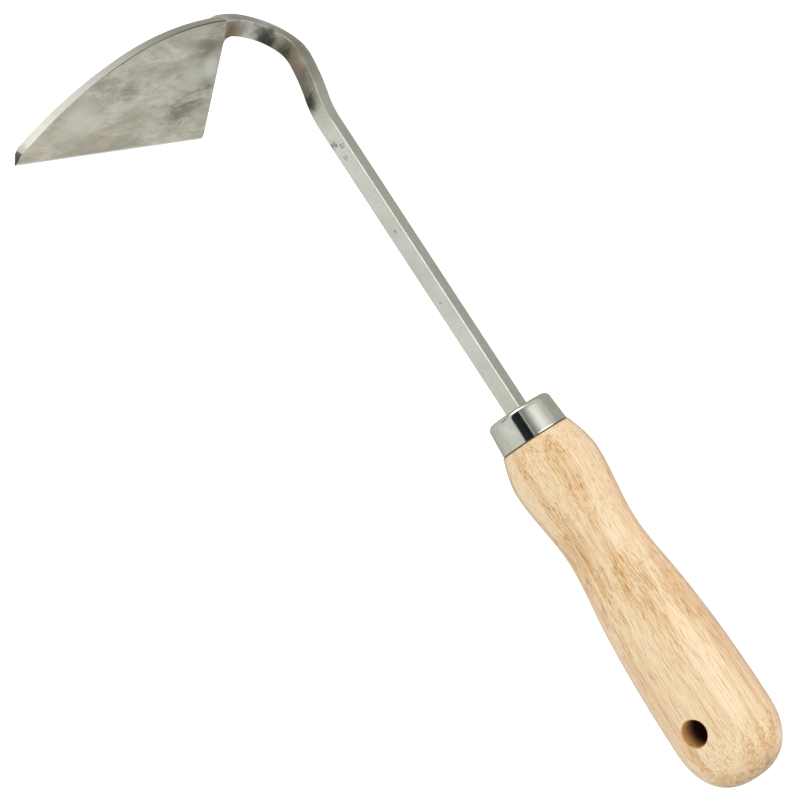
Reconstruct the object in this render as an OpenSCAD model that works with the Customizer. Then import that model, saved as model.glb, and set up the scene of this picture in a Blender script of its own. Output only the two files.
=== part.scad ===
// Hand hoe with a gooseneck: turned wooden handle, ferrule, square steel shank and a pointed plate blade.
// The origin is the centre of the hanging hole, on the handle's axis. +X runs along the handle towards the
// head, +Y is the side that the blade hangs to, and +Z is up with the hoe lying on its side.

/* [Handle] */
// Length of the wood from the butt to the ferrule's rear edge
wood_len = 133.6; // [120:0.2:170]
// Largest diameter, at the palm swell where the butt's dome begins
palm_d = 36; // [32:0.1:44]
// Diameter of the flank between waist and palm
flank_d = 31.7; // [29:0.1:38]
// Distance of the flank from the ferrule
flank_pos = 64.5; // [55:0.5:80]
// Diameter of the waist
waist_d = 26.8; // [23:0.1:32]
// Distance of the waist from the ferrule
waist_pos = 40; // [32:0.5:50]
// Diameter of the front bulb
bulb_d = 31.5; // [29:0.1:38]
// Distance of the front bulb from the ferrule
bulb_pos = 13.2; // [10:0.1:20]
// Step from the ferrule up to the wood
wood_step = 0.4; // [0.1:0.1:1.2]
// Length of the domed butt
butt_len = 21.6; // [16:0.2:26]
// Fullness of the dome, where 2 is an ellipse and more is squarer
butt_fullness = 2.4; // [2:0.1:4]

/* [Hanging hole] */
// Diameter of the hanging hole
hang_d = 9.5; // [6:0.1:12]
// Distance of the hanging hole from the butt
hang_pos = 23; // [18:0.5:28]
// Width of the broken edge round the hanging hole
hang_break = 0.5; // [0.2:0.1:1]
// Turn of the hanging hole about the handle's axis, away from straight up
hang_roll = 33; // [0:0.5:45]

/* [Ferrule] */
// Length of the ferrule
ferrule_len = 11.3; // [9:0.1:20]
// Outer diameter at the front
ferrule_front_d = 23.4; // [21:0.1:28]
// Outer diameter at the rear
ferrule_rear_d = 24.7; // [22:0.1:28.5]
// Sheet thickness of the ferrule
ferrule_wall = 1; // [0.6:0.1:1.6]
// Outer radius of the ferrule's front edge
ferrule_corner_r = 2.2; // [1.2:0.1:3]

/* [Shank] */
// Width of the square bar
bar_w = 6; // [4.5:0.1:7.5]
// Broken edge along the bar
bar_break = 0.4; // [0.2:0.05:0.8]
// Straight bar from the ferrule's face to the first bend
straight_len = 112.7; // [80:0.1:150]
// Length of the tang inside the handle, from the ferrule's face
tang_len = 76; // [55:1:92]
// Length of the tang's tapered point
tang_point_len = 10; // [6:0.5:16]
// Turn of the bar's wide face about the handle's axis, away from straight up
bar_roll = 30.4; // [0:0.1:45]
// Gap round the bar where it passes the ferrule
bar_gap = 0.1; // [0.05:0.05:0.4]
// Least thickness of resin over the tang's edges
resin_wall = 0.4; // [0.2:0.1:1]

/* [Gooseneck] */
// First bend, which dips away from the blade's face: radius, angle and direction
dip_bend = [18, 35.5, -81];
// Second bend, which brings the bar level again
level_bend = [31, 26, 103];
// Third bend, which turns the bar to the blade's side
side_bend = [12, 30.5, -24];
// Fourth bend, the hook that lifts the bar towards the blade's face
hook_bend = [17, 65.5, 80];
// Fifth bend, which lays the bar along the blade's spine
spine_bend = [15, 21, 66];
// Straight bar between the last bend and the blade
seat_len = 2.5; // [2.2:0.1:5]

/* [Blade] */
// Thickness of the blade plate
blade_t = 4; // [3:0.1:4.8]
// Radius of the spine near the neck
heel_arc_r = 85; // [65:1:110]
// Angle of the spine's arc near the neck
heel_arc_angle = 27.5; // [18:0.5:32]
// Radius of the spine near the tip
tip_arc_r = 145; // [110:1:190]
// Angle of the spine's arc near the tip
tip_arc_angle = 19.5; // [14:0.5:24]
// Length of the small flat on the tip
tip_flat = 3.4; // [1:0.1:5]
// Direction of the flat on the tip
tip_flat_angle = 73; // [60:1:85]
// Depth of the heel corner below the bar's centre line
heel_depth = 39; // [32:0.2:46]
// Offset of the heel corner towards the tip
heel_offset = 3; // [0:0.1:12]
// Radius of the fillet between the heel and the bar
heel_fillet_r = 2.5; // [1:0.1:4]
// Width of the cutting edge's bevel on the back
back_bevel_w = 5; // [3:0.1:8]
// Width of the cutting edge's bevel on the face
front_bevel_w = 1.6; // [0.8:0.1:3]
// Depth of the bevel on the face
front_bevel_t = 0.6; // [0.2:0.1:1]
// Thickness left at the cutting edge
edge_t = 0.5; // [0.2:0.1:1]

/* [Weld] */
// Length of the bar's tongue behind the blade
tongue_len = 5.5; // [4:0.5:9]
// Width of the dressed bead round the tongue
bead_leg = 3; // [1.5:0.1:4]

/* [Hidden] */
$fn = 96;
butt_x = -hang_pos;
wood_front_x = wood_len - hang_pos;
ferrule_face_x = wood_front_x + ferrule_len;
bend_start_x = ferrule_face_x + straight_len;
tang_end_x = ferrule_face_x - tang_len;
flank_slope = 0.1;
front_slope = 0.33;
butt_points = 20;
curve_points = 7;
arc_points = 12;
fillet_points = 6;
least_inner_r = 0.3;
ring_angle = 4;
bore_r = bar_w / sqrt(2) + resin_wall;
bore_point_len = 2.5;
bore_point_r = 0.5;
hang_mouth_h = 3 * hang_break;
ferrule_angle = atan((ferrule_rear_d - ferrule_front_d) / 2 / ferrule_len);
tongue_t = bar_w - blade_t;
tang_point_w = 3;
gooseneck = [dip_bend, level_bend, side_bend, hook_bend, spine_bend];
spine_knee = [heel_arc_r * sin(heel_arc_angle), -bar_w / 2 + heel_arc_r * (1 - cos(heel_arc_angle))];
spine_end_angle = heel_arc_angle + tip_arc_angle;
spine_end = spine_knee + tip_arc_r * [
    sin(spine_end_angle) - sin(heel_arc_angle),
    cos(heel_arc_angle) - cos(spine_end_angle)];
tip = spine_end + tip_flat * [cos(tip_flat_angle), sin(tip_flat_angle)];
heel = [heel_offset, heel_depth];
edge_angle = atan2(tip.y - heel.y, tip.x - heel.x);
heel_angle = atan2(heel.y - bar_w / 2, heel.x);
past = 1;

// Height of a curve that leaves [x0, r0] with slope m0 and reaches [x1, r1] with slope m1
function blend(x, x0, r0, m0, x1, r1, m1) =
    let (l = x1 - x0, t = (x - x0) / l)
    r0 * (2 * t ^ 3 - 3 * t ^ 2 + 1) + m0 * l * (t ^ 3 - 2 * t ^ 2 + t)
    + r1 * (3 * t ^ 2 - 2 * t ^ 3) + m1 * l * (t ^ 3 - t ^ 2);

// Points of that curve, with its end left out
function blend_run(x0, r0, m0, x1, r1, m1) = [
    for (i = [0:curve_points - 1])
        let (x = x0 + (x1 - x0) * i / curve_points)
        [blend(x, x0, r0, m0, x1, r1, m1), x]];

// Points of an arc about [cx, cy] from angle a0 to a1
function arc(cx, cy, r, a0, a1, n = arc_points) = [
    for (i = [0:n])
        let (a = a0 + (a1 - a0) * i / n)
        [cx + r * cos(a), cy + r * sin(a)]];

// Half outline of the wood as [radius, distance behind the ferrule's rear edge]
palm_pos = wood_len - butt_len;
wood_outline = concat(
    [[0, 0]],
    blend_run(0, ferrule_rear_d / 2 + wood_step, front_slope, bulb_pos, bulb_d / 2, 0),
    blend_run(bulb_pos, bulb_d / 2, 0, waist_pos, waist_d / 2, 0),
    blend_run(waist_pos, waist_d / 2, 0, flank_pos, flank_d / 2, flank_slope),
    blend_run(flank_pos, flank_d / 2, flank_slope, palm_pos, palm_d / 2, 0),
    [for (i = [0:butt_points])
        let (a = 90 * i / butt_points)
        [palm_d / 2 * cos(a) ^ (2 / butt_fullness), palm_pos + butt_len * sin(a) ^ (2 / butt_fullness)]]);

// Turns the handle's axis from +Z onto +X, starting at x
module along_x(x) {
    translate([x, 0, 0]) rotate([0, 90, 0]) children();
}

// Section of the square bar with its long edges broken, as [y, z] in the bar's own frame
bar_outline =
    let (w = bar_w / 2, b = bar_break)
    [[-w + b, -w], [w - b, -w], [w, -w + b], [w, w - b], [w - b, w], [-w + b, w], [-w, w - b], [-w, -w + b]];

// Straight length of bar along +X
module bar_straight(l) {
    rotate([90, 0, 90]) linear_extrude(l) polygon(bar_outline);
}

// A frame is [place, along the bar, to the blade's side, out of the face]. This one lies at angle a of bend b
function bent(frame, b, a) =
    let (
        inward = frame[2] * cos(b[2]) + frame[3] * sin(b[2]),
        hinge = frame[3] * cos(b[2]) - frame[2] * sin(b[2]),
        turned = inward * cos(a) - frame[1] * sin(a))
    [
        frame[0] + b[0] * (sin(a) * frame[1] + (1 - cos(a)) * inward),
        frame[1] * cos(a) + inward * sin(a),
        turned * cos(b[2]) - hinge * sin(b[2]),
        turned * sin(b[2]) + hinge * cos(b[2])];

// Frame where bend number i begins
function bend_frame(i) =
    i == 0 ? [[0, 0, 0], [1, 0, 0], [0, 1, 0], [0, 0, 1]]
    : bent(bend_frame(i - 1), gooseneck[i - 1], gooseneck[i - 1][1]);

// Frame moved on by l along the bar
function slid(frame, l) = [frame[0] + l * frame[1], frame[1], frame[2], frame[3]];

// Bent part of the bar and its straight end, as one skin over a ring of points every few degrees
module neck() {
    neck_end = bend_frame(len(gooseneck));
    frames = concat(
        [for (i = [0:len(gooseneck) - 1])
            let (b = gooseneck[i], start = bend_frame(i), n = ceil(b[1] / ring_angle))
            for (j = [0:n - 1]) bent(start, b, b[1] * j / n)],
        [neck_end, slid(neck_end, seat_len + tongue_len)]);
    sides = len(bar_outline);
    last = (len(frames) - 1) * sides;
    polyhedron(
        points = [for (f = frames) for (p = bar_outline) f[0] + p.x * f[2] + p.y * f[3]],
        faces = concat(
            [[for (k = [0:sides - 1]) k]],
            [for (r = [0:len(frames) - 2]) for (k = [0:sides - 1])
                let (a = r * sides + k, b = r * sides + (k + 1) % sides)
                [a, a + sides, b + sides, b]],
            [[for (k = [sides - 1:-1:0]) last + k]]));
}

// Carries children past one bend = [radius, angle, direction]
module after_bend(b) {
    rotate([b[2], 0, 0]) translate([0, b[0], 0]) rotate([0, 0, b[1]])
        translate([0, -b[0], 0]) rotate([-b[2], 0, 0]) children();
}

// Carries children to the end of the gooseneck, in the bar's own frame
module at_neck_end(i = 0) {
    if (i < len(gooseneck)) after_bend(gooseneck[i]) at_neck_end(i + 1) children();
    else children();
}

// Frame of the shank at its first bend, with the wide face turned to its roll
module at_bend_start() {
    rotate([-bar_roll, 0, 0]) translate([bend_start_x, 0, 0]) children();
}

// Frame of the blade: X along the spine from the neck, Y down to the cutting edge, face at Z = 0
module at_blade() {
    at_bend_start() at_neck_end() translate([seat_len, 0, bar_w / 2]) children();
}

// Hole across the handle, with both mouths broken
module hanging_hole() {
    rotate([-hang_roll, 0, 0]) {
        cylinder(h = palm_d + 2 * past, d = hang_d, center = true);
        for (side = [0, 180])
            rotate([side, 0, 0]) translate([0, 0, palm_d / 2 + hang_break - hang_mouth_h])
                cylinder(h = hang_mouth_h, d1 = hang_d, d2 = hang_d + hang_mouth_h);
    }
}

// Space inside the ferrule, which the tenon fills
module ferrule_inside() {
    l = ferrule_len - ferrule_wall;
    rear_r = ferrule_rear_d / 2 - ferrule_wall;
    front_r = rear_r - l * tan(ferrule_angle);
    edge_r = max(least_inner_r, ferrule_corner_r - ferrule_wall);
    along_x(wood_front_x) rotate_extrude() polygon(concat(
        [[0, 0], [rear_r, 0]],
        arc(front_r - edge_r, l - edge_r, edge_r, 0, 90, fillet_points),
        [[0, l]]));
}

// Drill point at the bottom of the tang's bore
module bore_point() {
    along_x(tang_end_x - bore_point_len) cylinder(h = bore_point_len, r1 = bore_point_r, r2 = bore_r);
}

module handle() color("burlywood") {
    difference() {
        union() {
            along_x(wood_front_x) mirror([0, 0, 1]) rotate_extrude() polygon(wood_outline);
            ferrule_inside();
        }
        along_x(tang_end_x) cylinder(h = tang_len + past, r = bore_r);
        bore_point();
        hanging_hole();
    }
}

// Wedge that leaves a bar of length l its tapered point
module point_wedge(l) {
    p = tang_point_w / 2;
    widest = p + l * (bar_w / 2 - p) / tang_point_len;
    linear_extrude(2 * bar_w, center = true) polygon([[0, -p], [l, -widest], [l, widest], [0, p]]);
}

// Straight part of the bar, from the tang's point to l further on
module pointed_bar(l) {
    intersection() {
        bar_straight(l);
        point_wedge(l);
        rotate([90, 0, 0]) point_wedge(l);
    }
}

module tang_resin() color("khaki") {
    difference() {
        union() {
            along_x(tang_end_x) cylinder(h = tang_len - ferrule_wall, r = bore_r);
            bore_point();
        }
        rotate([-bar_roll, 0, 0]) translate([tang_end_x, 0, 0]) pointed_bar(tang_len + past);
    }
}

module ferrule() color("silver") {
    front_r = ferrule_front_d / 2;
    hole_w = bar_w + 2 * bar_gap;
    difference() {
        along_x(wood_front_x) rotate_extrude() polygon(concat(
            [[0, 0], [ferrule_rear_d / 2, 0]],
            arc(front_r - ferrule_corner_r, ferrule_len - ferrule_corner_r, ferrule_corner_r, 0, 90),
            [[0, ferrule_len]]));
        ferrule_inside();
        rotate([-bar_roll, 0, 0]) translate([ferrule_face_x - 2 * ferrule_wall, -hole_w / 2, -hole_w / 2])
            cube([3 * ferrule_wall, hole_w, hole_w]);
    }
}

module shank() color("gainsboro") {
    l = tang_len + straight_len;
    at_bend_start() {
        translate([-l, 0, 0]) pointed_bar(l);
        difference() {
            neck();
            at_neck_end() half_lap();
        }
    }
}

// Space that the blade takes out of the bar's end
module half_lap() {
    translate([seat_len, -bar_w, bar_w / 2 - blade_t]) cube([tongue_len + past, 2 * bar_w, blade_t + past]);
}

// Outline of the blade in its own frame
module blade_outline() {
    fillet_reach = heel_fillet_r / tan((180 - heel_angle) / 2);
    polygon(concat(
        arc(0, heel_arc_r - bar_w / 2, heel_arc_r, -90, -90 + heel_arc_angle),
        arc(
            spine_knee.x - tip_arc_r * sin(heel_arc_angle), spine_knee.y + tip_arc_r * cos(heel_arc_angle),
            tip_arc_r, -90 + heel_arc_angle, -90 + spine_end_angle),
        [tip, heel],
        arc(-fillet_reach, bar_w / 2 + heel_fillet_r, heel_fillet_r, heel_angle - 90, -90, fillet_points),
        [[0, bar_w / 2]]));
}

module blade() color("lightgray") {
    reach = 2 * tip.x;
    depth = 3 * back_bevel_w;
    back_angle = atan((blade_t - edge_t - front_bevel_t) / back_bevel_w);
    front_angle = atan(front_bevel_t / front_bevel_w);
    at_blade() difference() {
        translate([0, 0, -blade_t]) linear_extrude(blade_t) blade_outline();
        translate([heel.x, heel.y, 0]) rotate([0, 0, edge_angle]) {
            translate([-reach / 2, -back_bevel_w, -blade_t]) rotate([back_angle, 0, 0])
                translate([0, 0, -blade_t]) cube([reach, depth, blade_t]);
            translate([-reach / 2, -front_bevel_w, 0]) rotate([-front_angle, 0, 0])
                cube([reach, depth, blade_t]);
        }
    }
}

// Section of the weld bead, from the tongue's side outwards
module bead_section() {
    polygon([[0, 0], [bead_leg, 0], [0, -tongue_t]]);
}

// Bead past the tongue's end and along its lower side, dressed flush with the spine
module neck_weld() color("silver") {
    at_blade() translate([0, 0, -blade_t]) intersection() {
        union() {
            translate([tongue_len, bar_w / 2, 0]) rotate([90, 0, 0]) linear_extrude(bar_w) bead_section();
            translate([0, bar_w / 2, 0]) rotate([90, 0, 90]) linear_extrude(tongue_len) bead_section();
            translate([tongue_len, bar_w / 2, 0]) rotate_extrude(angle = 90) bead_section();
        }
        translate([0, 0, -tongue_t]) linear_extrude(tongue_t) blade_outline();
    }
}

handle();
tang_resin();
ferrule();
shank();
neck_weld();
blade();
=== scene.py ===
from math import atan, atan2, cos, pi, radians, sin, tan

import bmesh
import bpy
from mathutils import Matrix, Vector


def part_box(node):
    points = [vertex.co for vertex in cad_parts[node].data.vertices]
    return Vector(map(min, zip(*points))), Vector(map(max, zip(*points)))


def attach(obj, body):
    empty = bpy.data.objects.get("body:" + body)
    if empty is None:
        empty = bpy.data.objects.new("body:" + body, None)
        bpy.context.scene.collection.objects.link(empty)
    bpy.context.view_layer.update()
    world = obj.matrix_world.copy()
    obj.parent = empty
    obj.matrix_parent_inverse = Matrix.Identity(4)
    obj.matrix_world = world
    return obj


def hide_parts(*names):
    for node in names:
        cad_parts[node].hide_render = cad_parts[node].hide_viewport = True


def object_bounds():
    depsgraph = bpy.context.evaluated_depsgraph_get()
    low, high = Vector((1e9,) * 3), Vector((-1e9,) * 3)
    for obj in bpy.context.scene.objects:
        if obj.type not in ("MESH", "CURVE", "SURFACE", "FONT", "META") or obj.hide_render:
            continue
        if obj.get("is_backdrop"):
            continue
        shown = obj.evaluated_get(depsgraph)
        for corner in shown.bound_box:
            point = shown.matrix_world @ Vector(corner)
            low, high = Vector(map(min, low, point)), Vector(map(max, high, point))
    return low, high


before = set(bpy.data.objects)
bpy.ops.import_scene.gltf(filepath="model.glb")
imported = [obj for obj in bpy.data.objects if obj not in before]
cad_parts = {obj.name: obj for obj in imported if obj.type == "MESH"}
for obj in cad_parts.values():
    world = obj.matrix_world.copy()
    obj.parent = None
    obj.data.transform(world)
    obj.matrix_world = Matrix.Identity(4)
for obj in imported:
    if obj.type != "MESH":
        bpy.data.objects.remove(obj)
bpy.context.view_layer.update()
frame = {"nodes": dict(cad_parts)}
nodes = frame["nodes"]
scene = bpy.context.scene
mm = 0.001
print("frame loaded:", sorted(nodes))

view = {                           # lengths in mm, angles in degrees
    "aim": (145.6, 30.6, 0.0),     # what the camera looks at
    "lean": 3.0,                   # from straight above
    "turn": 56.862,                # turn of the handle in the view
    "distance": 4000.0,
    "width": 264.17,               # width of the view at the aim
    "nudge": (-0.043, 0.071),      # small shift to the right and up
    "sensor": 36.0,
    "clip": (0.1, 50.0),           # nearest and farthest shown, m
}


def placeCamera(v):
    lean, turn = radians(v["lean"]), radians(v["turn"])
    along = Vector((cos(lean), 0, sin(lean)))
    back = Vector((-sin(lean), 0, cos(lean)))
    side = Vector((0, 1, 0))
    right = -cos(turn) * along - sin(turn) * side
    up = sin(turn) * along - cos(turn) * side
    place = Vector(v["aim"]) + v["nudge"][0] * right + v["nudge"][1] * up + v["distance"] * back
    lens = bpy.data.cameras.new("camera")
    lens.sensor_width = v["sensor"]
    lens.lens = v["sensor"] * v["distance"] / v["width"]
    lens.clip_start, lens.clip_end = v["clip"]
    camera = bpy.data.objects.new("camera", lens)
    camera.matrix_world = Matrix.Translation(place * mm) @ Matrix((right, up, back)).transposed().to_4x4()
    scene.collection.objects.link(camera)
    scene.camera = camera


placeCamera(view)
scene.view_settings.view_transform = "Standard"
print("camera placed")


class Wire:                        # a socket that takes part in plain expressions
    def __init__(self, nodes, socket):
        self.nodes = nodes
        self.socket = socket

    def math(self, operation, *others):
        return self.nodes.add("Math", {"operation": operation}, dict(enumerate((self,) + others)))

    def __add__(self, other):
        return self.math("ADD", other)

    def __radd__(self, other):
        return self.math("ADD", other)

    def __sub__(self, other):
        return self.math("SUBTRACT", other)

    def __rsub__(self, other):
        return self.math("MULTIPLY_ADD", -1.0, other)

    def __mul__(self, other):
        return self.math("MULTIPLY", other)

    def __rmul__(self, other):
        return self.math("MULTIPLY", other)

    def __truediv__(self, other):
        return self.math("DIVIDE", other)

    def __pow__(self, other):
        return self.math("POWER", other)

    def atLeast(self, other):
        return self.math("MAXIMUM", other)


class Nodes:                       # one material or world, built from small calls
    def __init__(self, owner):
        owner.use_nodes = True
        self.owner = owner
        self.tree = owner.node_tree
        self.tree.nodes.clear()

    def add(self, kind, settings=None, values=None, out=0):
        node = self.tree.nodes.new("ShaderNode" + kind)
        for name, value in (settings or {}).items():
            if name == "stops":
                ramp = node.color_ramp
                while len(ramp.elements) < len(value):
                    ramp.elements.new(0.5)
                for element, (place, tone) in zip(ramp.elements, value):
                    element.position = place
                    element.color = tone if len(tone) == 4 else (*tone, 1)
            else:
                setattr(node, name, value)
        for name, value in (values or {}).items():
            self.feed(node.inputs[name], value)
        return Wire(self, node.outputs[out]) if node.outputs else None

    def feed(self, socket, value):
        if isinstance(value, Wire):
            self.tree.links.new(value.socket, socket)
        elif socket.type == "RGBA" and len(value) == 3:
            socket.default_value = (*value, 1)
        else:
            socket.default_value = value

    def place(self):
        return self.add("TexCoord", out="Object")

    def stretch(self, where, scale):
        return self.add("VectorMath", {"operation": "MULTIPLY"}, {0: where, 1: scale})

    def noise(self, where, scale=1.0, detail=3.0, rough=0.55, warp=0.0):
        return self.add("TexNoise", {"noise_dimensions": "3D"}, {
            "Vector": where, "Scale": scale, "Detail": detail, "Roughness": rough, "Distortion": warp})

    def step(self, value, low, high):          # 0 below low, 1 above high, smooth between
        return self.add("MapRange", {"interpolation_type": "SMOOTHSTEP"}, {
            "Value": value, "From Min": low, "From Max": high, "To Min": 0.0, "To Max": 1.0})

    def mix(self, share, first, second, blend="MIX"):
        return self.add("Mix", {"data_type": "RGBA", "blend_type": blend, "clamp_factor": True},
                        {0: share, 6: first, 7: second}, out=2)

    def near(self, where, centre, inner, outer):   # 1 inside a ball, 0 outside, sizes in mm
        away = self.add("VectorMath", {"operation": "DISTANCE"},
                        {0: where, 1: tuple(c * mm for c in centre)}, out="Value")
        return self.step(away, outer * mm, inner * mm)

    def part(self, where, axis):
        return self.add("SeparateXYZ", values={0: where}, out=axis)

    def dot(self, where, direction):
        values = {0: where, 1: tuple(direction)}
        return self.add("VectorMath", {"operation": "DOT_PRODUCT"}, values, out="Value")

    def bump(self, height, distance, strength=1.0, under=None):
        values = {"Height": height, "Distance": distance, "Strength": strength}
        if under:
            values["Normal"] = under
        return self.add("Bump", values=values)

    def surface(self, values):
        shader = self.add("BsdfPrincipled", values=values)
        self.add("OutputMaterial", values={"Surface": shader})


def finish(name):
    return Nodes(bpy.data.materials.new(name))


def fromScreen(red, green, blue):              # 0-255 screen colour to linear
    return tuple((c / 255 / 12.92) if c < 10 else ((c / 255 + 0.055) / 1.055) ** 2.4
                 for c in (red, green, blue))


def joinRings(shape, rings):                   # rings of points joined in a row, closed at both ends
    made = [[shape.verts.new(point) for point in ring] for ring in rings]
    count = len(made[0])
    for first, second in zip(made, made[1:]):
        for k in range(count):
            n = (k + 1) % count
            shape.faces.new((first[k], second[k], second[n], first[n]))
    shape.faces.new(made[0])
    shape.faces.new(list(reversed(made[-1])))


def latheX(shape, outline, count):             # outline = [(x, radius)], a radius of 0 makes a pole
    rings = []
    angles = [2 * pi * k / count for k in range(count)]
    for x, radius in outline:
        if radius == 0:
            rings.append([shape.verts.new((x, 0, 0))])
        else:
            rings.append([shape.verts.new((x, radius * cos(a), radius * sin(a))) for a in angles])
    for first, second in zip(rings, rings[1:]):
        for k in range(count):
            n = (k + 1) % count
            if len(first) == 1:
                shape.faces.new((first[0], second[k], second[n]))
            elif len(second) == 1:
                shape.faces.new((first[k], second[0], first[n]))
            else:
                shape.faces.new((first[k], second[k], second[n], first[n]))


def makePiece(name, shape, sharpAngle, transform=None):
    bmesh.ops.recalc_face_normals(shape, faces=shape.faces)
    mesh = bpy.data.meshes.new(name)
    shape.to_mesh(mesh)
    shape.free()
    mesh.transform(Matrix.Diagonal((mm, mm, mm, 1)) @ (transform or Matrix.Identity(4)))
    piece = bpy.data.objects.new(name, mesh)
    scene.collection.objects.link(piece)
    smoothPiece(piece, sharpAngle)
    return piece


def smoothPiece(piece, sharpAngle):
    for face in piece.data.polygons:
        face.use_smooth = True
    piece.data.set_sharp_from_angle(angle=radians(sharpAngle))


def cutPiece(piece, cutter, sharpAngle):
    change = piece.modifiers.new("cut", "BOOLEAN")
    change.object = cutter
    change.operation = "DIFFERENCE"
    change.solver = "EXACT"
    bpy.context.view_layer.update()
    ready = piece.evaluated_get(bpy.context.evaluated_depsgraph_get())
    cut = bpy.data.meshes.new_from_object(ready)
    piece.modifiers.clear()
    piece.data = cut
    bpy.data.objects.remove(cutter)
    smoothPiece(piece, sharpAngle)


def dress(piece, material, node):
    piece.data.materials.clear()
    piece.data.materials.append(material)
    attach(piece, "root")
    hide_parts(node)


def weightNormals(piece):
    change = piece.modifiers.new("even", "WEIGHTED_NORMAL")
    change.keep_sharp = True
    change.weight = 80


ferruleLow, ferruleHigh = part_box("ferrule")
handleLow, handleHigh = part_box("handle")

handle = {                                     # diameters, places and lengths in mm
    "buttX": handleLow.x / mm,
    "frontX": ferruleLow.x / mm,               # where the wood meets the ferrule
    "bulb": (13.2, 31.5),                      # distance behind the ferrule and diameter
    "waist": (40.0, 26.8),
    "flank": (64.5, 31.7, 0.1),                # the third value is the slope there
    "palm": 36.0,
    "front": 25.5, "frontSlope": 0.33, "frontRound": 0.35, "frontLip": 0.05,
    "tenon": (6.0, 11.0),                      # length and radius inside the ferrule
    "buttLength": 21.6, "fullness": 2.4,       # a fuller butt is squarer
    "hole": 9.5, "holeRound": 0.7, "holeFlare": 2.2,
    "holeRoll": 33.0,                          # turn of the hole about the handle, degrees
}
holeAxis = Vector((0, sin(radians(handle["holeRoll"])), cos(radians(handle["holeRoll"]))))


def easeRadius(x, x0, r0, m0, x1, r1, m1):
    length = x1 - x0
    t = (x - x0) / length
    return (r0 * (2 * t**3 - 3 * t**2 + 1) + m0 * length * (t**3 - 2 * t**2 + t)
            + r1 * (3 * t**2 - 2 * t**3) + m1 * length * (t**3 - t**2))


def handleOutline(h):
    flankX, flankD, flankSlope = h["flank"]
    palmX = h["frontX"] - h["buttX"] - h["buttLength"]
    stations = [(0, h["front"] / 2, h["frontSlope"]), (h["bulb"][0], h["bulb"][1] / 2, 0),
                (h["waist"][0], h["waist"][1] / 2, 0), (flankX, flankD / 2, flankSlope),
                (palmX, h["palm"] / 2, 0)]
    tenonLength, tenonRadius = h["tenon"]
    points = [(h["frontX"] + tenonLength, 0), (h["frontX"] + tenonLength, tenonRadius),
              (h["frontX"], tenonRadius)]
    edge, radius = h["frontRound"], h["front"] / 2
    points += [(h["frontX"] - edge * (1 - cos(a)), radius - edge + edge * sin(a) + h["frontLip"])
               for a in (0, pi / 6, pi / 3)]
    steps = 26
    for (x0, r0, m0), (x1, r1, m1) in zip(stations, stations[1:]):
        for i in range(1 if x0 == 0 else 0, steps):
            x = x0 + (x1 - x0) * i / steps
            points.append((h["frontX"] - x, easeRadius(x, x0, r0, m0, x1, r1, m1)))
    power = 2 / h["fullness"]
    steps = 60
    for i in range(steps + 1):
        a = pi / 2 * i / steps
        radius = h["palm"] / 2 * max(cos(a), 0) ** power
        points.append((h["frontX"] - palmX - h["buttLength"] * sin(a) ** power, radius if i < steps else 0))
    return points


def buildHandle(h):
    shape = bmesh.new()
    latheX(shape, handleOutline(h), 144)
    piece = makePiece("turned_handle", shape, 40)
    cutter = bmesh.new()
    wall, radius, soft = h["palm"] / 2, h["hole"] / 2, h["holeRound"]
    past = 3                                   # how far the cutter stands out of the wood
    outline = [(-wall - past, 0), (-wall - past, radius + 3 * soft)]
    flare = [(wall + 0.25 - soft * 1.7 * (1 - i / 8), radius + soft * (i / 8) ** h["holeFlare"])
             for i in range(9)]
    outline += [(-x, r) for x, r in reversed(flare)] + flare
    outline += [(wall + past, radius + 3 * soft), (wall + past, 0)]
    latheX(cutter, outline, 96)
    turned = Matrix.Rotation(-radians(h["holeRoll"]), 4, "X") @ Matrix.Rotation(-pi / 2, 4, "Y")
    cutPiece(piece, makePiece("hole_cutter", cutter, 40, turned), 35)
    return piece


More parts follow.
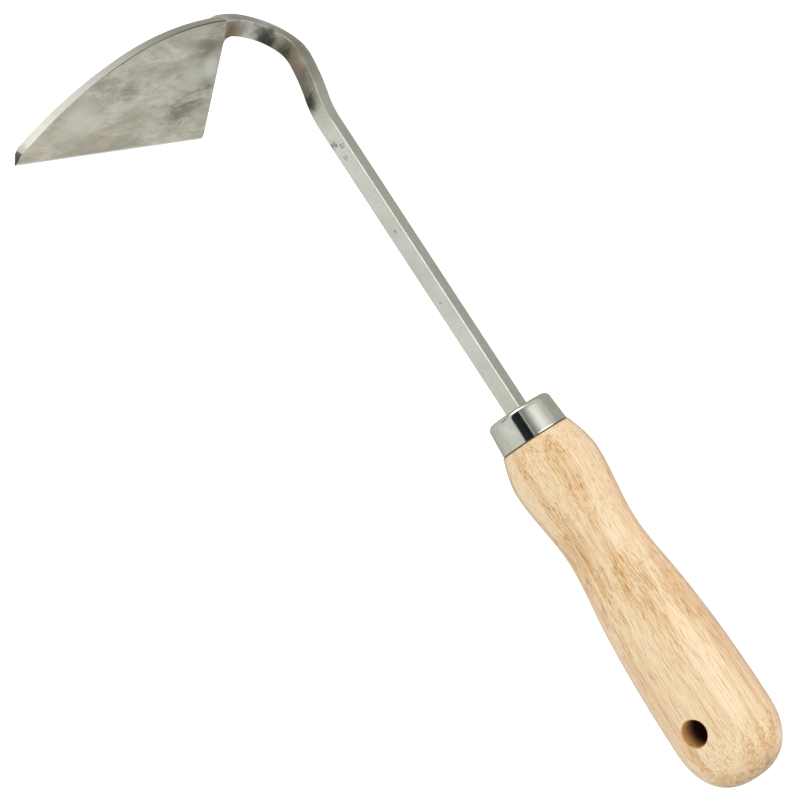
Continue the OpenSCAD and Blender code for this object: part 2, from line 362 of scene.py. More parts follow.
def woodFinish(h):
    f = finish("varnished_wood")
    where = f.place()
    x = f.part(where, "X")
    drift = f.noise(f.stretch(where, (9, 38, 38)), 1.0, 2.0)
    broad = f.noise(f.stretch(where, (11, 150, 150)), 1.0, 4.0, warp=0.5)
    streak = f.noise(f.stretch(where, (24, 1700, 1700)), 1.0, 4.0, 0.62, 0.1)
    line = f.noise(f.stretch(where, (55, 2900, 2900)), 1.0, 2.0, 0.55)
    dash = f.noise(f.stretch(where, (110, 2200, 2200)), 1.0, 3.0, 0.6)
    pore = f.noise(f.stretch(where, (200, 3000, 3000)), 1.0, 2.0)
    zone = f.step(broad, 0.42, 0.62)
    tone = f.mix(zone, fromScreen(237, 212, 172), fromScreen(222, 186, 138))
    tone = f.mix(f.step(drift, 0.52, 0.70) * 0.45, tone, fromScreen(228, 184, 150))
    tone = f.mix(f.step(streak, 0.50, 0.36) * 0.45, tone, fromScreen(243, 222, 187))
    tone = f.mix(f.step(streak, 0.52, 0.64) * (0.26 + 0.46 * zone), tone, fromScreen(204, 150, 84))
    tone = f.mix(f.step(line, 0.57, 0.63) * (0.34 + 0.50 * zone), tone, fromScreen(178, 116, 54))
    tone = f.mix(f.step(dash, 0.595, 0.645) * (0.30 + 0.50 * zone), tone, fromScreen(172, 106, 44))
    tone = f.mix(f.step(pore, 0.63, 0.70) * 0.5, tone, fromScreen(132, 88, 52))
    # end grain on the butt: darker and freckled
    facing = f.add("NewGeometry", out="Normal")
    endGrain = f.step(f.part(facing, "X") * -1.0, 0.5, 0.95)
    freckle = f.noise(f.stretch(where, (500, 700, 700)), 1.0, 4.0, 0.65)
    ring = f.noise(f.stretch(where, (60, 260, 120)), 1.0, 3.0)
    butt = f.mix(f.step(freckle, 0.42, 0.64), fromScreen(212, 178, 128), fromScreen(156, 110, 62))
    butt = f.mix(f.step(ring, 0.5, 0.7) * 0.4, butt, fromScreen(150, 104, 62))
    tone = f.mix(endGrain * 0.9, tone, butt)
    # bare wood inside the hanging hole, with painted shade making it darker deeper in
    lengthways = f.dot(where, holeAxis)
    onAxis = f.add("VectorMath", {"operation": "SCALE"}, {0: tuple(holeAxis), "Scale": lengthways})
    fromAxis = f.add("VectorMath", {"operation": "DISTANCE"}, {0: where, 1: onAxis}, out="Value")
    inHole = f.step(fromAxis, (h["hole"] / 2 + 0.45) * mm, (h["hole"] / 2 + 0.1) * mm)
    holeMouthLit = f.step(lengthways, 8 * mm, 17 * mm)
    wall = f.mix(holeMouthLit, fromScreen(58, 20, 6), fromScreen(212, 162, 100))
    tone = f.mix(inHole, tone, f.mix(f.step(freckle, 0.5, 0.7) * 0.35, wall, fromScreen(50, 20, 8)))
    # painted shade: a darker line where the wood meets the ferrule
    frontSeamShade = f.step(x, (h["frontX"] - 0.55) * mm, (h["frontX"] - 0.1) * mm)
    tone = f.mix(frontSeamShade * 0.8, tone, fromScreen(84, 52, 30))
    bare = inHole.atLeast(frontSeamShade * 0.6)
    rough = 0.42 + 0.16 * streak + 0.25 * bare
    relief = streak * 0.5 + line * 0.25 + dash * 0.25
    grain = f.bump(relief, 0.00006, 0.55)
    waves = f.bump(f.noise(f.stretch(where, (60, 110, 110)), 1.0, 2.0), 0.0006, 0.16, under=grain)
    f.surface({"Base Color": tone, "Roughness": rough, "Normal": waves,
               "Coat Weight": 0.85 - 0.85 * bare, "Coat Roughness": 0.09, "Coat IOR": 1.5})
    return f.owner


handlePiece = buildHandle(handle)
dress(handlePiece, woodFinish(handle), "handle")
print("handle turned:", len(handlePiece.data.vertices), "points")


ferrule = {
    "rearX": ferruleLow.x / mm, "faceX": ferruleHigh.x / mm,
    "rearD": 24.7, "frontD": 23.4, "corner": 2.2, "rearRound": 0.25,
    "hole": 6.2, "holeDepth": 2.5,             # the square hole for the bar
    "roll": 30.4,                              # turn of the hole and the bar about the handle, degrees
}


def buildFerrule(f):
    shape = bmesh.new()
    rearX, faceX, corner, soft = f["rearX"], f["faceX"], f["corner"], f["rearRound"]
    rearR, frontR = f["rearD"] / 2, f["frontD"] / 2
    outline = [(rearX, 0), (rearX, rearR - 1)]
    outline += [(rearX + soft * (1 - cos(a)), rearR - soft + soft * sin(a))
                for a in (0, pi / 6, pi / 3, pi / 2)]
    outline += [(rearX + (faceX - rearX - corner) * i / 12, rearR + (frontR - rearR) * i / 12)
                for i in range(1, 12)]
    outline += [(faceX - corner + corner * sin(a), frontR - corner + corner * cos(a))
                for a in [pi / 2 * i / 14 for i in range(15)]]
    outline += [(faceX - 0.04, 8.0), (faceX - 0.02, 5.0), (faceX, 0)]
    latheX(shape, outline, 160)
    piece = makePiece("polished_ferrule", shape, 50)
    cutter = bmesh.new()
    half = f["hole"] / 2
    square = [(half, half), (-half, half), (-half, -half), (half, -half)]
    joinRings(cutter, [[(x, y, z) for y, z in square] for x in (faceX - f["holeDepth"], faceX + 2)])
    cutPiece(piece, makePiece("bar_cutter", cutter, 30, Matrix.Rotation(-radians(f["roll"]), 4, "X")), 50)
    return piece


def ferruleFinish():
    f = finish("polished_steel")
    where = f.place()
    turning = f.noise(f.stretch(where, (5200, 60, 60)), 1.0, 2.0)     # faint lines round the cup
    cloud = f.noise(where, 220.0, 3.0)
    tone = f.mix(f.step(cloud, 0.35, 0.7), fromScreen(238, 238, 225), fromScreen(222, 224, 212))
    # painted shade in the seam along the rear edge, where the ferrule meets the wood
    rearSeamShade = f.step(f.part(where, "X"), (ferrule["rearX"] + 0.45) * mm, (ferrule["rearX"] + 0.15) * mm)
    tone = f.mix(rearSeamShade * 0.8, tone, fromScreen(84, 74, 60))
    rough = 0.07 + 0.07 * f.step(cloud, 0.4, 0.75) + 0.03 * turning
    dents = f.bump(f.noise(where, 130.0, 1.0), 0.0004, 0.12, under=f.bump(turning, 0.000012, 0.35))
    f.surface({"Base Color": tone, "Metallic": 1.0, "Roughness": rough, "Normal": dents})
    return f.owner


ferrulePiece = buildFerrule(ferrule)
dress(ferrulePiece, ferruleFinish(), "ferrule")
print("ferrule drawn")


shank = {
    "width": 6.0, "round": 0.31, "roll": ferrule["roll"],
    "tang": 76.0, "point": 10.0, "pointWidth": 3.0, "straight": 112.7, "faceX": ferrule["faceX"],
    # each bend: radius, angle, direction
    "bends": [(18, 35.5, -81), (31, 26, 103), (12, 30.5, -24), (17, 65.5, 80), (15, 21, 66)],
    "seat": 2.5, "tongue": 5.5,                # the bar's end before the lap, and the tongue behind the blade
    "tongueThins": 1.85, "tongueNarrows": 0.5, "tongueOverlap": 0.3, "tongueRound": 0.38,
}
bladeThickness = 4.0                           # shared by the tongue, the blade and the weld


def bendFrame(start, bend, angle):             # frame = place, along, to the blade's side, out of the face
    radius, turn, a = bend[0], radians(bend[2]), radians(angle)
    place, along, side, face = start
    inward = side * cos(turn) + face * sin(turn)
    hinge = face * cos(turn) - side * sin(turn)
    turned = inward * cos(a) - along * sin(a)
    return (place + radius * (sin(a) * along + (1 - cos(a)) * inward), along * cos(a) + inward * sin(a),
            turned * cos(turn) - hinge * sin(turn), turned * sin(turn) + hinge * cos(turn))


def shankFrames(s):
    level = (Vector((0, 0, 0)), Vector((1, 0, 0)), Vector((0, 1, 0)), Vector((0, 0, 1)))
    frames = [level]
    for bend in s["bends"]:
        start, count = frames[-1], max(2, round(bend[1] / 1.25))
        frames += [bendFrame(start, bend, bend[1] * i / count) for i in range(1, count + 1)]
    return frames


rollTurn = Matrix.Rotation(-radians(shank["roll"]), 4, "X")
neckPlace = rollTurn @ Matrix.Translation((shank["faceX"] + shank["straight"], 0, 0))
neckFrames = shankFrames(shank)


def roundSection(low, high, left, right, soft, steps=4):
    points = []
    for cy, cz, a0 in ((right - soft, high - soft, 0), (left + soft, high - soft, 90),
                       (left + soft, low + soft, 180), (right - soft, low + soft, 270)):
        for i in range(steps + 1):
            a = radians(a0 + 90 * i / steps)
            points.append((cy + soft * cos(a), cz + soft * sin(a)))
    return points


def ringAt(spot, section):
    place, along, side, face = spot
    return [place + y * side + z * face for y, z in section]


def slide(spot, distance):
    return (spot[0] + spot[1] * distance,) + spot[1:]


def buildShank(s):
    shape = bmesh.new()
    half = s["width"] / 2
    full = roundSection(-half, half, -half, half, s["round"], 1)
    point = [(y * s["pointWidth"] / s["width"], z * s["pointWidth"] / s["width"]) for y, z in full]
    start = neckFrames[0]
    rings = [ringAt(slide(start, -s["straight"] - s["tang"]), point),
             ringAt(slide(start, -s["straight"] - s["tang"] + s["point"]), full)]
    rings += [ringAt(slide(start, -s["straight"] * i / 12), full) for i in range(12, 0, -1)]
    rings += [ringAt(spot, full) for spot in neckFrames]
    rings.append(ringAt(slide(neckFrames[-1], s["seat"]), full))
    joinRings(shape, rings)
    lap = []                                   # the tongue thins out behind the blade
    for i in range(13):
        share = i / 12
        low = -half + s["tongueThins"] * share * share * (3 - 2 * share)
        soft = min(s["tongueRound"], (half - bladeThickness - low) * 0.4)
        left = -half + s["tongueNarrows"] * share ** 3
        section = roundSection(low, half - bladeThickness, left, half, soft)
        reach = s["seat"] - s["tongueOverlap"] + (s["tongue"] + s["tongueOverlap"]) * share
        lap.append(ringAt(slide(neckFrames[-1], reach), section))
    joinRings(shape, lap)
    return makePiece("square_shank", shape, 38, neckPlace)


def markPlace(x, across):                      # a spot on the face of the straight bar
    return tuple(rollTurn @ Vector((x, across, shank["width"] / 2)))


def neckSpot(share, aside=1.8, above=3.5):     # off the gooseneck, 0 at its first bend and 1 at the blade
    spot = neckFrames[round(share * (len(neckFrames) - 1))]
    return tuple(neckPlace @ (spot[0] + spot[2] * aside + spot[3] * above))


def steelFinish(name, tones, clouds, marks, tintsAndReflections, rough, brush):
    f = finish(name)
    where = f.place()
    cloud = f.noise(where, clouds["scale"], 4.0, 0.6, clouds["warp"])
    patch = f.noise(where, clouds["scale"] * 0.33, 3.0, 0.5, 0.6)
    fine = f.noise(where, 1500.0, 3.0, 0.6)
    tone = f.mix(f.step(cloud, 0.3, 0.72), tones["light"], tones["dark"])
    tone = f.mix(f.step(patch, 0.5, 0.72) * clouds["patch"], tone, tones["patch"])
    tone = f.mix(f.step(fine, 0.35, 0.75) * 0.14, tone, tones["speck"])
    wander = 0.007                             # how far the edges of the tints and painted reflections wander, m
    drift = f.add("TexNoise", {"noise_dimensions": "3D"},
                  {"Vector": where, "Scale": 330.0, "Detail": 4.0, "Roughness": 0.65}, out=1)
    torn = f.add("VectorMath", {"operation": "MULTIPLY_ADD"}, {0: drift, 1: (wander,) * 3, 2: where})
    torn = f.add("VectorMath", {"operation": "SUBTRACT"}, {0: torn, 1: (wander / 2,) * 3})
    # heat tints and painted dark reflections, each a soft ball of colour
    for centre, inner, outer, share, spotColour in tintsAndReflections:
        tone = f.mix(f.near(torn, centre, inner, outer) * share, tone, spotColour)
    for centre, size, share, spotColour in marks:
        ragged = f.step(fine, 0.34, 0.6)
        tone = f.mix(f.near(where, centre, size * 0.35, size) * ragged * share, tone, spotColour)
    scratch = f.noise(f.stretch(where, brush["stretch"]), 1.0, 3.0, 0.65)
    roughness = rough + 0.10 * cloud + 0.07 * fine
    relief = f.bump(scratch, brush["depth"], brush["strength"])
    relief = f.bump(f.noise(where, 160.0, 2.0), 0.00035, brush["wave"], under=relief)
    f.surface({"Base Color": tone, "Metallic": 1.0, "Roughness": roughness, "Normal": relief})
    return f.owner


def shankFinish():
    tones = {"light": fromScreen(240, 240, 231), "dark": fromScreen(229, 228, 217),
             "patch": fromScreen(212, 209, 197), "speck": fromScreen(140, 136, 124)}
    # brown and red: heat tint; reflectedDark: a painted dark reflection
    brown, red, reflectedDark = fromScreen(168, 146, 118), fromScreen(160, 140, 124), fromScreen(96, 93, 82)
    tintsAndReflections = [                                  # place, full within, gone beyond, share, colour; red and brown are heat tint, the dim and darker ones painted dark reflections
        (neckSpot(0.34), 6.0, 13.0, 0.5, fromScreen(166, 158, 142)),
        (neckSpot(0.54), 6.0, 12.0, 0.55, fromScreen(160, 154, 138)),
        (neckSpot(0.155), 0.5, 5.0, 0.92, reflectedDark),
        (neckSpot(0.21), 1.0, 5.0, 0.6, reflectedDark),
        (neckSpot(0.30), 2.0, 6.0, 0.75, red),
        (neckSpot(0.41), 2.0, 6.0, 0.75, red),
        (neckSpot(0.49), 0.6, 3.6, 0.75, reflectedDark),
        (neckSpot(0.60), 1.0, 4.5, 0.4, reflectedDark),
        (neckSpot(0.68), 1.6, 5.2, 0.96, fromScreen(70, 68, 56)),
        (neckSpot(0.74, -0.4), 0.8, 4.6, 0.75, fromScreen(104, 106, 98)),
        (neckSpot(0.97), 2.0, 7.0, 0.8, brown),
        (neckSpot(0.90, -4.5, -1.0), 3.0, 10.0, 0.35, reflectedDark),
    ]
    marks = [
        (markPlace(228.0, 1.6), 1.9, 0.8, fromScreen(110, 106, 92)),
        (markPlace(226.5, -0.9), 1.4, 0.75, fromScreen(104, 98, 86)),
        (markPlace(222.5, 0.4), 1.3, 0.5, fromScreen(126, 120, 106)),
        (markPlace(193.0, 0.0), 0.7, 0.7, fromScreen(84, 80, 70)),
        (markPlace(165.0, 0.5), 0.6, 0.7, fromScreen(84, 80, 70)),
    ]
    return steelFinish("satin_bar", tones, {"scale": 95.0, "warp": 0.5, "patch": 0.35}, marks, tintsAndReflections, 0.23,
                       {"stretch": (90, 2600, 2600), "depth": 0.00002, "strength": 0.5, "wave": 0.08})


shankPiece = buildShank(shank)
dress(shankPiece, shankFinish(), "shank")
weightNormals(shankPiece)
print("shank swept through", len(neckFrames), "frames")


blade = {
    "thickness": bladeThickness,
    "spine": [(85, 27.5), (145, 19.5)],        # radius and angle, from the neck to the tip
    "tipFlat": (3.4, 73),                      # length and direction of the ground tip
    "heel": (3.0, 39.0), "fillet": 2.5,
    "backBevel": 5.0, "faceBevel": 1.6, "faceBevelDepth": 0.6, "edge": 0.5,
    "soften": 0.28,                            # rounding of the sharp corners
    "length": 80.0,                            # over which the spine's painted reflection runs
}
seatFrame = slide(neckFrames[-1], shank["seat"])
bladePlace = neckPlace @ Matrix.Translation(seatFrame[0] + seatFrame[3] * shank["width"] / 2) @ Matrix((
    (seatFrame[1].x, seatFrame[2].x, seatFrame[3].x, 0),
    (seatFrame[1].y, seatFrame[2].y, seatFrame[3].y, 0),
    (seatFrame[1].z, seatFrame[2].z, seatFrame[3].z, 0),
    (0, 0, 0, 1)))


def bladeSpine(b, steps=36):
    half = shank["width"] / 2
    (r1, a1), (r2, a2) = b["spine"]
    a1, a2 = radians(a1), radians(a2)
    points = []
    for i in range(steps + 1):
        a = a1 * i / steps
        points.append(Vector((r1 * sin(a), -half + r1 * (1 - cos(a)))))
    knee = points[-1].copy()
    for i in range(1, steps + 1):
        a = a1 + a2 * i / steps
        points.append(knee + r2 * Vector((sin(a) - sin(a1), cos(a1) - cos(a))))
    return points


def buildBlade(b):
    half = shank["width"] / 2
    spine = bladeSpine(b)
    flat, angle = b["tipFlat"][0], radians(b["tipFlat"][1])
    tip = spine[-1] + flat * Vector((cos(angle), sin(angle)))
    heel = Vector(b["heel"])
    heelAngle = atan2(heel.y - half, heel.x)
    reach = b["fillet"] / tan((pi - heelAngle) / 2)
    centre = Vector((-reach, half + b["fillet"]))
    fillet = [centre + b["fillet"] * Vector((cos(a), sin(a)))
              for a in [heelAngle - pi / 2 - heelAngle * i / 8 for i in range(9)]]
    outline = spine + [tip, heel] + fillet + [Vector((0, half))]
    shape = bmesh.new()
    top = [shape.verts.new((p.x, p.y, 0)) for p in outline]
    bottom = [shape.verts.new((p.x, p.y, -b["thickness"])) for p in outline]
    shape.faces.new(top)
    shape.faces.new(list(reversed(bottom)))
    for k in range(len(outline)):
        n = (k + 1) % len(outline)
        shape.faces.new((top[k], bottom[k], bottom[n], top[n]))
    bmesh.ops.recalc_face_normals(shape, faces=shape.faces)
    edgeWay = (tip - heel).normalized()
    inward = Vector((edgeWay.y, -edgeWay.x))
    if inward.dot(spine[20] - heel) < 0:
        inward = -inward
    outward = -inward
    backRise = b["thickness"] - b["edge"] - b["faceBevelDepth"]
    cuts = [
        (heel + inward * b["backBevel"], -b["thickness"], backRise / b["backBevel"], -1),
        (heel + inward * b["faceBevel"], 0.0, b["faceBevelDepth"] / b["faceBevel"], 1),
    ]
    for spot, height, slope, sense in cuts:
        lean = atan(slope)
        normal = Vector((outward.x * sin(lean), outward.y * sin(lean), sense * cos(lean)))
        bmesh.ops.bisect_plane(shape, geom=shape.verts[:] + shape.edges[:] + shape.faces[:], dist=1e-5,
                               plane_co=(spot.x, spot.y, height), plane_no=normal, clear_outer=True)
        bmesh.ops.holes_fill(shape, edges=[e for e in shape.edges if e.is_boundary], sides=0)
    bmesh.ops.recalc_face_normals(shape, faces=shape.faces)
    soft = [e for e in shape.edges if e.is_manifold and e.calc_face_angle(0) > radians(40)
            and not all(v.co.x < 0.4 for v in e.verts)]
    bmesh.ops.bevel(shape, geom=soft, offset=b["soften"], offset_type="OFFSET", segments=3, profile=0.5,
                    affect="EDGES", clamp_overlap=True)
    return makePiece("plate_blade", shape, 32, bladePlace)


def onBlade(x, y, z=0.0):
    return tuple(bladePlace @ Vector((x, y, z)))


def bladeFinish(b):
    f = finish("cloudy_steel")
    where = f.place()
    turn = bladePlace.to_3x3()
    alongBlade, acrossBlade, outOfFace = (turn @ Vector(way) for way in ((1, 0, 0), (0, 1, 0), (0, 0, 1)))
    flow = f.add("CombineXYZ", values={0: f.dot(where, alongBlade) * 0.42, 1: f.dot(where, acrossBlade),
                                       2: f.dot(where, outOfFace)})
    cloud = f.noise(flow, 150.0, 6.0, 0.64, 0.6)
    patch = f.noise(flow, 55.0, 4.0, 0.55, 0.9)
    mottle = f.noise(flow, 620.0, 4.0, 0.68)
    fine = f.noise(where, 2200.0, 3.0, 0.6)
    tone = f.mix(f.step(cloud, 0.34, 0.66), fromScreen(250, 248, 238), fromScreen(212, 210, 196))
    tone = f.mix(f.step(patch, 0.48, 0.66) * 0.55, tone, fromScreen(194, 193, 177))
    tone = f.mix(f.step(mottle, 0.45, 0.7) * 0.4, tone, fromScreen(182, 179, 164))
    blush = f.step(f.noise(where, 150.0, 3.0), 0.52, 0.75)
    tone = f.mix(blush * 0.26, tone, fromScreen(222, 196, 186))
    # painted reflections on the face: darker and near-white patches
    for centre, inner, outer, share, spotColour in (
            (onBlade(15, 28), 1.0, 9.0, 0.62, (150, 150, 134)),
            (onBlade(9, 23), 1.0, 8.0, 0.6, (152, 151, 136)),
            (onBlade(4, 20), 0.5, 4.0, 0.6, (150, 149, 134)),
            (onBlade(37, 19), 1.0, 6.0, 0.5, (160, 158, 143)),
            (onBlade(47, 16), 1.0, 8.0, 0.35, (176, 172, 158)),
            (onBlade(3, 1), 2.0, 8.0, 0.45, (168, 164, 148)),
            (onBlade(7, 6), 1.0, 6.0, 0.5, (160, 156, 142)),
            (onBlade(4, 13), 1.0, 6.0, 0.85, (252, 253, 248)),
            (onBlade(11, 16), 1.0, 6.0, 0.6, (250, 251, 246)),
            (onBlade(56, 26), 1.0, 12.0, 0.5, (250, 247, 238))):
        shapeIt = f.step(cloud + mottle, 0.8, 1.1) * 0.9 + 0.35
        tone = f.mix(f.near(where, centre, inner, outer) * shapeIt * share, tone, fromScreen(*spotColour))
    # spine strip: painted reflection, dark by the neck and bright by the tip, with grinding marks
    origin = bladePlace.translation
    travel = f.dot(where, alongBlade) - alongBlade.dot(origin) * mm
    facing = f.add("NewGeometry", out="Normal")
    upward = f.dot(facing, turn @ Vector((0, -1, 0)))
    onSpine = f.step(upward, 0.45, 0.8)
    stripGrindAndReflection = f.add("ValToRGB", {"stops": [
        (0.0, fromScreen(214, 211, 201)), (0.12, fromScreen(196, 193, 184)),
        (0.35, fromScreen(190, 188, 180)), (0.62, fromScreen(216, 215, 209)),
        (0.85, fromScreen(247, 247, 245)), (1.0, fromScreen(252, 252, 252))]},
        {0: travel / (b["length"] * mm)})
    grinding = tuple(900 * abs(c) + 2600 * abs(a) for a, c in zip(alongBlade, outOfFace))
    hatch = f.noise(f.stretch(where, grinding), 1.0, 3.0, 0.7)
    stripGrindAndReflection = f.mix(f.step(hatch, 0.5, 0.75) * 0.4, stripGrindAndReflection, fromScreen(140, 138, 130))
    tone = f.mix(onSpine, tone, stripGrindAndReflection)
    # painted shade and dark reflection: a thin dark line where the strip meets the face, on the rounded edge
    rimShade = f.step(upward, 0.10, 0.28) * f.step(upward, 0.93, 0.75)
    rimShadeTone = f.mix(f.step(travel, 20 * mm, 75 * mm), fromScreen(84, 82, 74), fromScreen(176, 174, 168))
    tone = f.mix(rimShade * 0.9, tone, rimShadeTone)
    depth = f.dot(where, outOfFace) - outOfFace.dot(origin) * mm
    reach = 0.95 * mm - f.step(travel, 4 * mm, 30 * mm) * 0.50 * mm
    shade = f.step(depth + reach, -0.12 * mm, 0.12 * mm) * f.step(upward, 0.25, 0.45)
    shade = shade * f.step(travel, 76 * mm, 40 * mm)
    tone = f.mix(shade * 0.85, tone, fromScreen(70, 68, 60))
    # painted dark reflection on the ground facet at the tip
    tipFacetReflection = f.step(f.dot(facing, turn @ Vector((0.956, -0.292, 0))), 0.86, 0.94)
    tipFacetReflection = tipFacetReflection * f.step(travel, 74.5 * mm, 76.5 * mm)
    tone = f.mix(tipFacetReflection * 0.9, tone, fromScreen(92, 92, 86))
    # ground bevel
    flatness = f.dot(facing, outOfFace)
    bevelled = f.step(flatness, 0.985, 0.955) * f.step(flatness, 0.6, 0.85)
    tone = f.mix(bevelled, tone, fromScreen(252, 252, 248))
    scratch = f.noise(f.stretch(where, (1500, 260, 1500)), 1.0, 3.0, 0.65)
    rough = 0.30 + 0.12 * cloud + 0.08 * mottle
    relief = f.bump(scratch + 0.5 * fine, 0.00002, 0.5)
    relief = f.bump(hatch * onSpine, 0.00006, 0.5, under=relief)
    relief = f.bump(f.noise(where, 75.0, 2.0), 0.0009, 0.13, under=relief)
    f.surface({"Base Color": tone, "Metallic": 1.0, "Roughness": rough, "Normal": relief})
    return f.owner


bladePiece = buildBlade(blade)
dress(bladePiece, bladeFinish(blade), "blade")
weightNormals(bladePiece)
print("blade cut:", len(bladePiece.data.vertices), "points")


weld = {
    "leg": 3.0, "height": shank["width"] - bladeThickness,
    "ripple": 0.06, "pitch": 0.9,              # depth and spacing of the ripples
    "bulge": 0.10, "squareness": 1.25,
    "top": -2.72,                              # where the bead ends by the spine
    "sinkFrom": 26, "sinkBy": 0.84,            # ring where it begins to run out, and how much it loses
}


def buildWeld(w):
    shape = bmesh.new()
    half, end = shank["width"] / 2, shank["tongue"]
    path = []                                  # place on the tongue's side and the way outwards
    for i in range(19):
        path.append((Vector((end * i / 18, half, 0)), Vector((0, 1, 0))))
    for i in range(1, 12):
        a = pi / 2 * (1 - i / 12)
        path.append((Vector((end, half, 0)), Vector((cos(a), sin(a), 0))))
    for i in range(25):
        path.append((Vector((end, half + (w["top"] - half) * i / 24, 0)), Vector((1, 0, 0))))
    rings, travelled = [], 0.0
    for k, (place, out) in enumerate(path):
        if k:
            travelled += (place - path[k - 1][0]).length + w["leg"] * (out - path[k - 1][1]).length * 0.6
        swell = 1 - w["ripple"] * (0.5 + 0.5 * cos(2 * pi * travelled / w["pitch"]))
        sink = max(0.0, (k - w["sinkFrom"]) / (len(path) - 1 - w["sinkFrom"]))
        size = swell * (1 - w["sinkBy"] * sink * sink * (3 - 2 * sink))
        ring = [place.copy()]
        for i in range(9):
            a = pi / 2 * i / 8
            bulge = 1 + w["bulge"] * sin(2 * a)
            ring.append(place + out * (w["leg"] * cos(a) ** w["squareness"] * size * bulge)
                        + Vector((0, 0, -w["height"] * sin(a) ** w["squareness"] * min(1, size * bulge))))
        rings.append([p + Vector((0, 0, -bladeThickness)) for p in ring])
    joinRings(shape, rings)
    return makePiece("dressed_weld", shape, 50, bladePlace)


def weldFinish():
    tones = {"light": fromScreen(172, 169, 158), "dark": fromScreen(138, 132, 118),
             "patch": fromScreen(150, 132, 110), "speck": fromScreen(96, 90, 80)}
    return steelFinish("ground_weld", tones, {"scale": 420.0, "warp": 0.6, "patch": 0.6}, [], [], 0.34,
                       {"stretch": (1800, 900, 1800), "depth": 0.00005, "strength": 0.7, "wave": 0.3})


weldPiece = buildWeld(weld)
dress(weldPiece, weldFinish(), "neck_weld")
print("weld laid")


def resinFinish():                             # sealed inside the handle
    f = finish("cured_resin")
    where = f.place()
    cloud = f.noise(where, 180.0, 3.0)
    bubble = f.noise(where, 900.0, 2.0)
    tone = f.mix(f.step(cloud, 0.35, 0.7), fromScreen(206, 186, 132), fromScreen(182, 158, 104))
    tone = f.mix(f.step(bubble, 0.66, 0.72) * 0.6, tone, fromScreen(232, 220, 184))
    f.surface({"Base Color": tone, "Roughness": 0.35 + 0.2 * cloud, "Normal": f.bump(bubble, 0.0001, 0.4)})
    return f.owner


nodes["tang_resin"].data.materials.clear()
nodes["tang_resin"].data.materials.append(resinFinish())
print("resin finished")


studio = {                                     # lengths in m, angles in degrees
    "floorSize": 4.0, "floorGlow": 0.86, "floorLit": 0.50,
    "floorGrey": 0.40,                         # the grey that metal mirrors
    "room": 0.64,
    # bright and, with a minus, dark spots of the room: strength, azimuth, height, sharpness
    "spots": [(0.12, 90, 28, 16), (6.0, 2, 2, 46), (0.34, -90, 45, 12), (0.3, -90, 61, 60),
              (-0.62, 40, 2, 34), (-0.10, -90, 8, 6)],
    "centre": 0.13,                            # what the lamps look at, along X
    # angle from straight up, distance, size and power
    "key": (45.0, 1.6, (1.7, 0.34), 2.0),
    "soft": (15.0, 2.2, (2.2, 2.2), 30.0),
    "side": (-58.0, 2.0, (2.0, 1.6), 8.0),
}


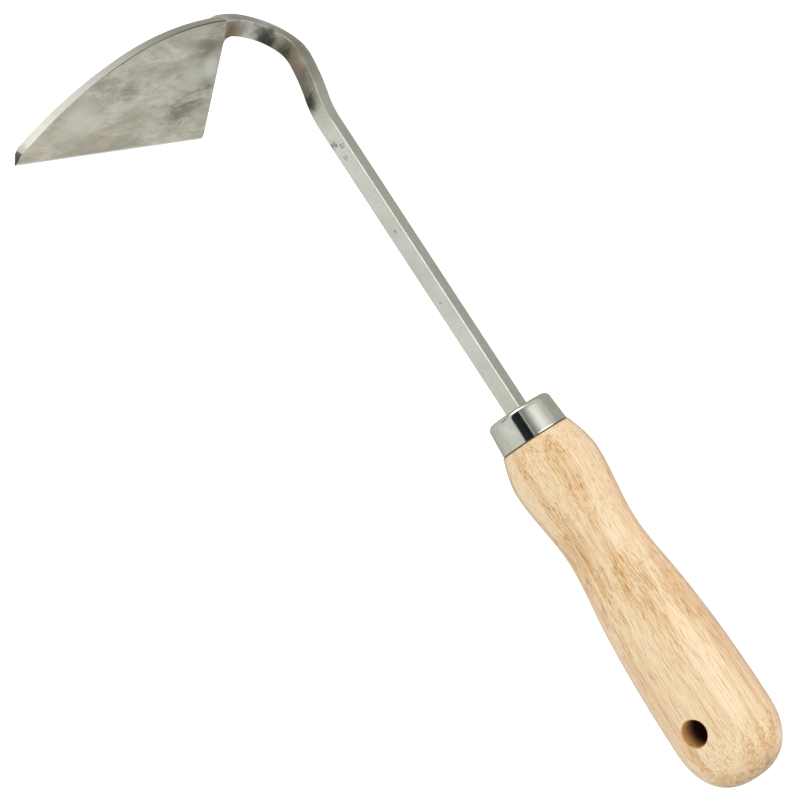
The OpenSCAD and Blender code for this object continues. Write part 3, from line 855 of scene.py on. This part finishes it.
def buildFloor(s):
    shape = bmesh.new()
    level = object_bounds()[0][2] / mm - 0.02
    half = s["floorSize"] / 2 / mm
    cells = 8
    points = [[shape.verts.new((-half + 2 * half * i / cells + 150, -half + 2 * half * j / cells, level))
               for j in range(cells + 1)] for i in range(cells + 1)]
    for i in range(cells):
        for j in range(cells):
            shape.faces.new((points[i][j], points[i + 1][j], points[i + 1][j + 1], points[i][j + 1]))
    piece = makePiece("pale_floor", shape, 30)
    f = finish("pale_sheet")
    seen = f.add("BsdfDiffuse", values={"Color": (s["floorLit"],) * 3})
    glow = f.add("Emission", values={"Color": (1, 1, 1), "Strength": s["floorGlow"]})
    white = f.add("AddShader", values={0: seen, 1: glow})
    where = f.place()                          # mirrored in metal: darker to one side, bright past the tip
    dark, light = (s["floorGrey"] * 0.92,) * 3, (s["floorGrey"] * 1.3,) * 3
    tone = f.mix(f.step(f.part(where, "Y"), -0.03, 0.05), dark, light)
    tone = f.mix(f.step(f.part(where, "X"), 0.33, 0.75), tone, (1.0, 1.0, 0.98))
    grey = f.add("BsdfDiffuse", values={"Color": f.mix(1.0, tone, (1.0, 1.0, 0.94), "MULTIPLY")})
    mirrored = f.add("LightPath", out="Is Glossy Ray")
    f.add("OutputMaterial", values={"Surface": f.add("MixShader", values={0: mirrored, 1: white, 2: grey})})
    piece.data.materials.append(f.owner)
    piece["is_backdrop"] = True


def buildWorld(s):
    w = Nodes(bpy.data.worlds.new("soft_room"))
    way = w.add("TexCoord", out="Generated")
    x, y, z = (w.part(way, axis) for axis in "XYZ")
    slant = y / z.atLeast(0.02)

    def lobe(azimuth, height, sharpness):
        a, h = radians(azimuth), radians(height)
        return w.dot(way, (cos(h) * cos(a), cos(h) * sin(a), sin(h))).atLeast(0.0) ** sharpness

    # a dark card overhead, a bright slit along its edge, and a dimmer band past the slit
    card = w.step(slant, -0.02, 0.02) * w.step(slant, 0.70, 0.56)
    card = card * w.step(z, 0.3, 0.42) * w.step(x, -0.34, -0.14)
    slit = w.step(slant, -0.085, -0.06) * w.step(slant, -0.02, -0.045) * w.step(z, 0.6, 0.8)
    dusk = w.step(slant, -0.95, -0.02) * w.step(slant, 0.3, 0.0) * w.step(z, 0.3, 0.5) * w.step(x, -0.5, -0.2)
    light = s["room"]
    for strength, azimuth, height, sharpness in s["spots"]:
        light = light + strength * lobe(azimuth, height, sharpness)
    light = light.atLeast(0.04) * (1 - 0.96 * card) * (1 - 0.66 * dusk) + slit * 0.45
    tone = w.mix(card, (1.0, 1.0, 0.985), (0.62, 0.95, 1.0))
    back = w.add("Background", values={"Color": tone, "Strength": light})
    w.add("OutputWorld", values={"Surface": back})
    scene.world = w.owner


def buildLight(name, place, aim, size, power):
    lamp = bpy.data.lights.new(name, "AREA")
    lamp.shape = "RECTANGLE"
    lamp.size, lamp.size_y = size
    lamp.energy = power
    item = bpy.data.objects.new(name, lamp)
    turned = (Vector(aim) - Vector(place)).to_track_quat("-Z", "X").to_matrix().to_4x4()
    item.matrix_world = Matrix.Translation(place) @ turned
    scene.collection.objects.link(item)
    return item


def buildLights(s):
    centre = (s["centre"], 0.0, 0.0)
    for name in ("key", "soft", "side"):
        angle, distance, size, power = s[name]
        a = radians(angle)
        place = (s["centre"], -sin(a) * distance, cos(a) * distance)
        lamp = buildLight(name, place, centre, size, power)
        lamp.visible_glossy = name == "key"    # the others light without a reflection


buildFloor(studio)
buildWorld(studio)
buildLights(studio)
print("studio set")
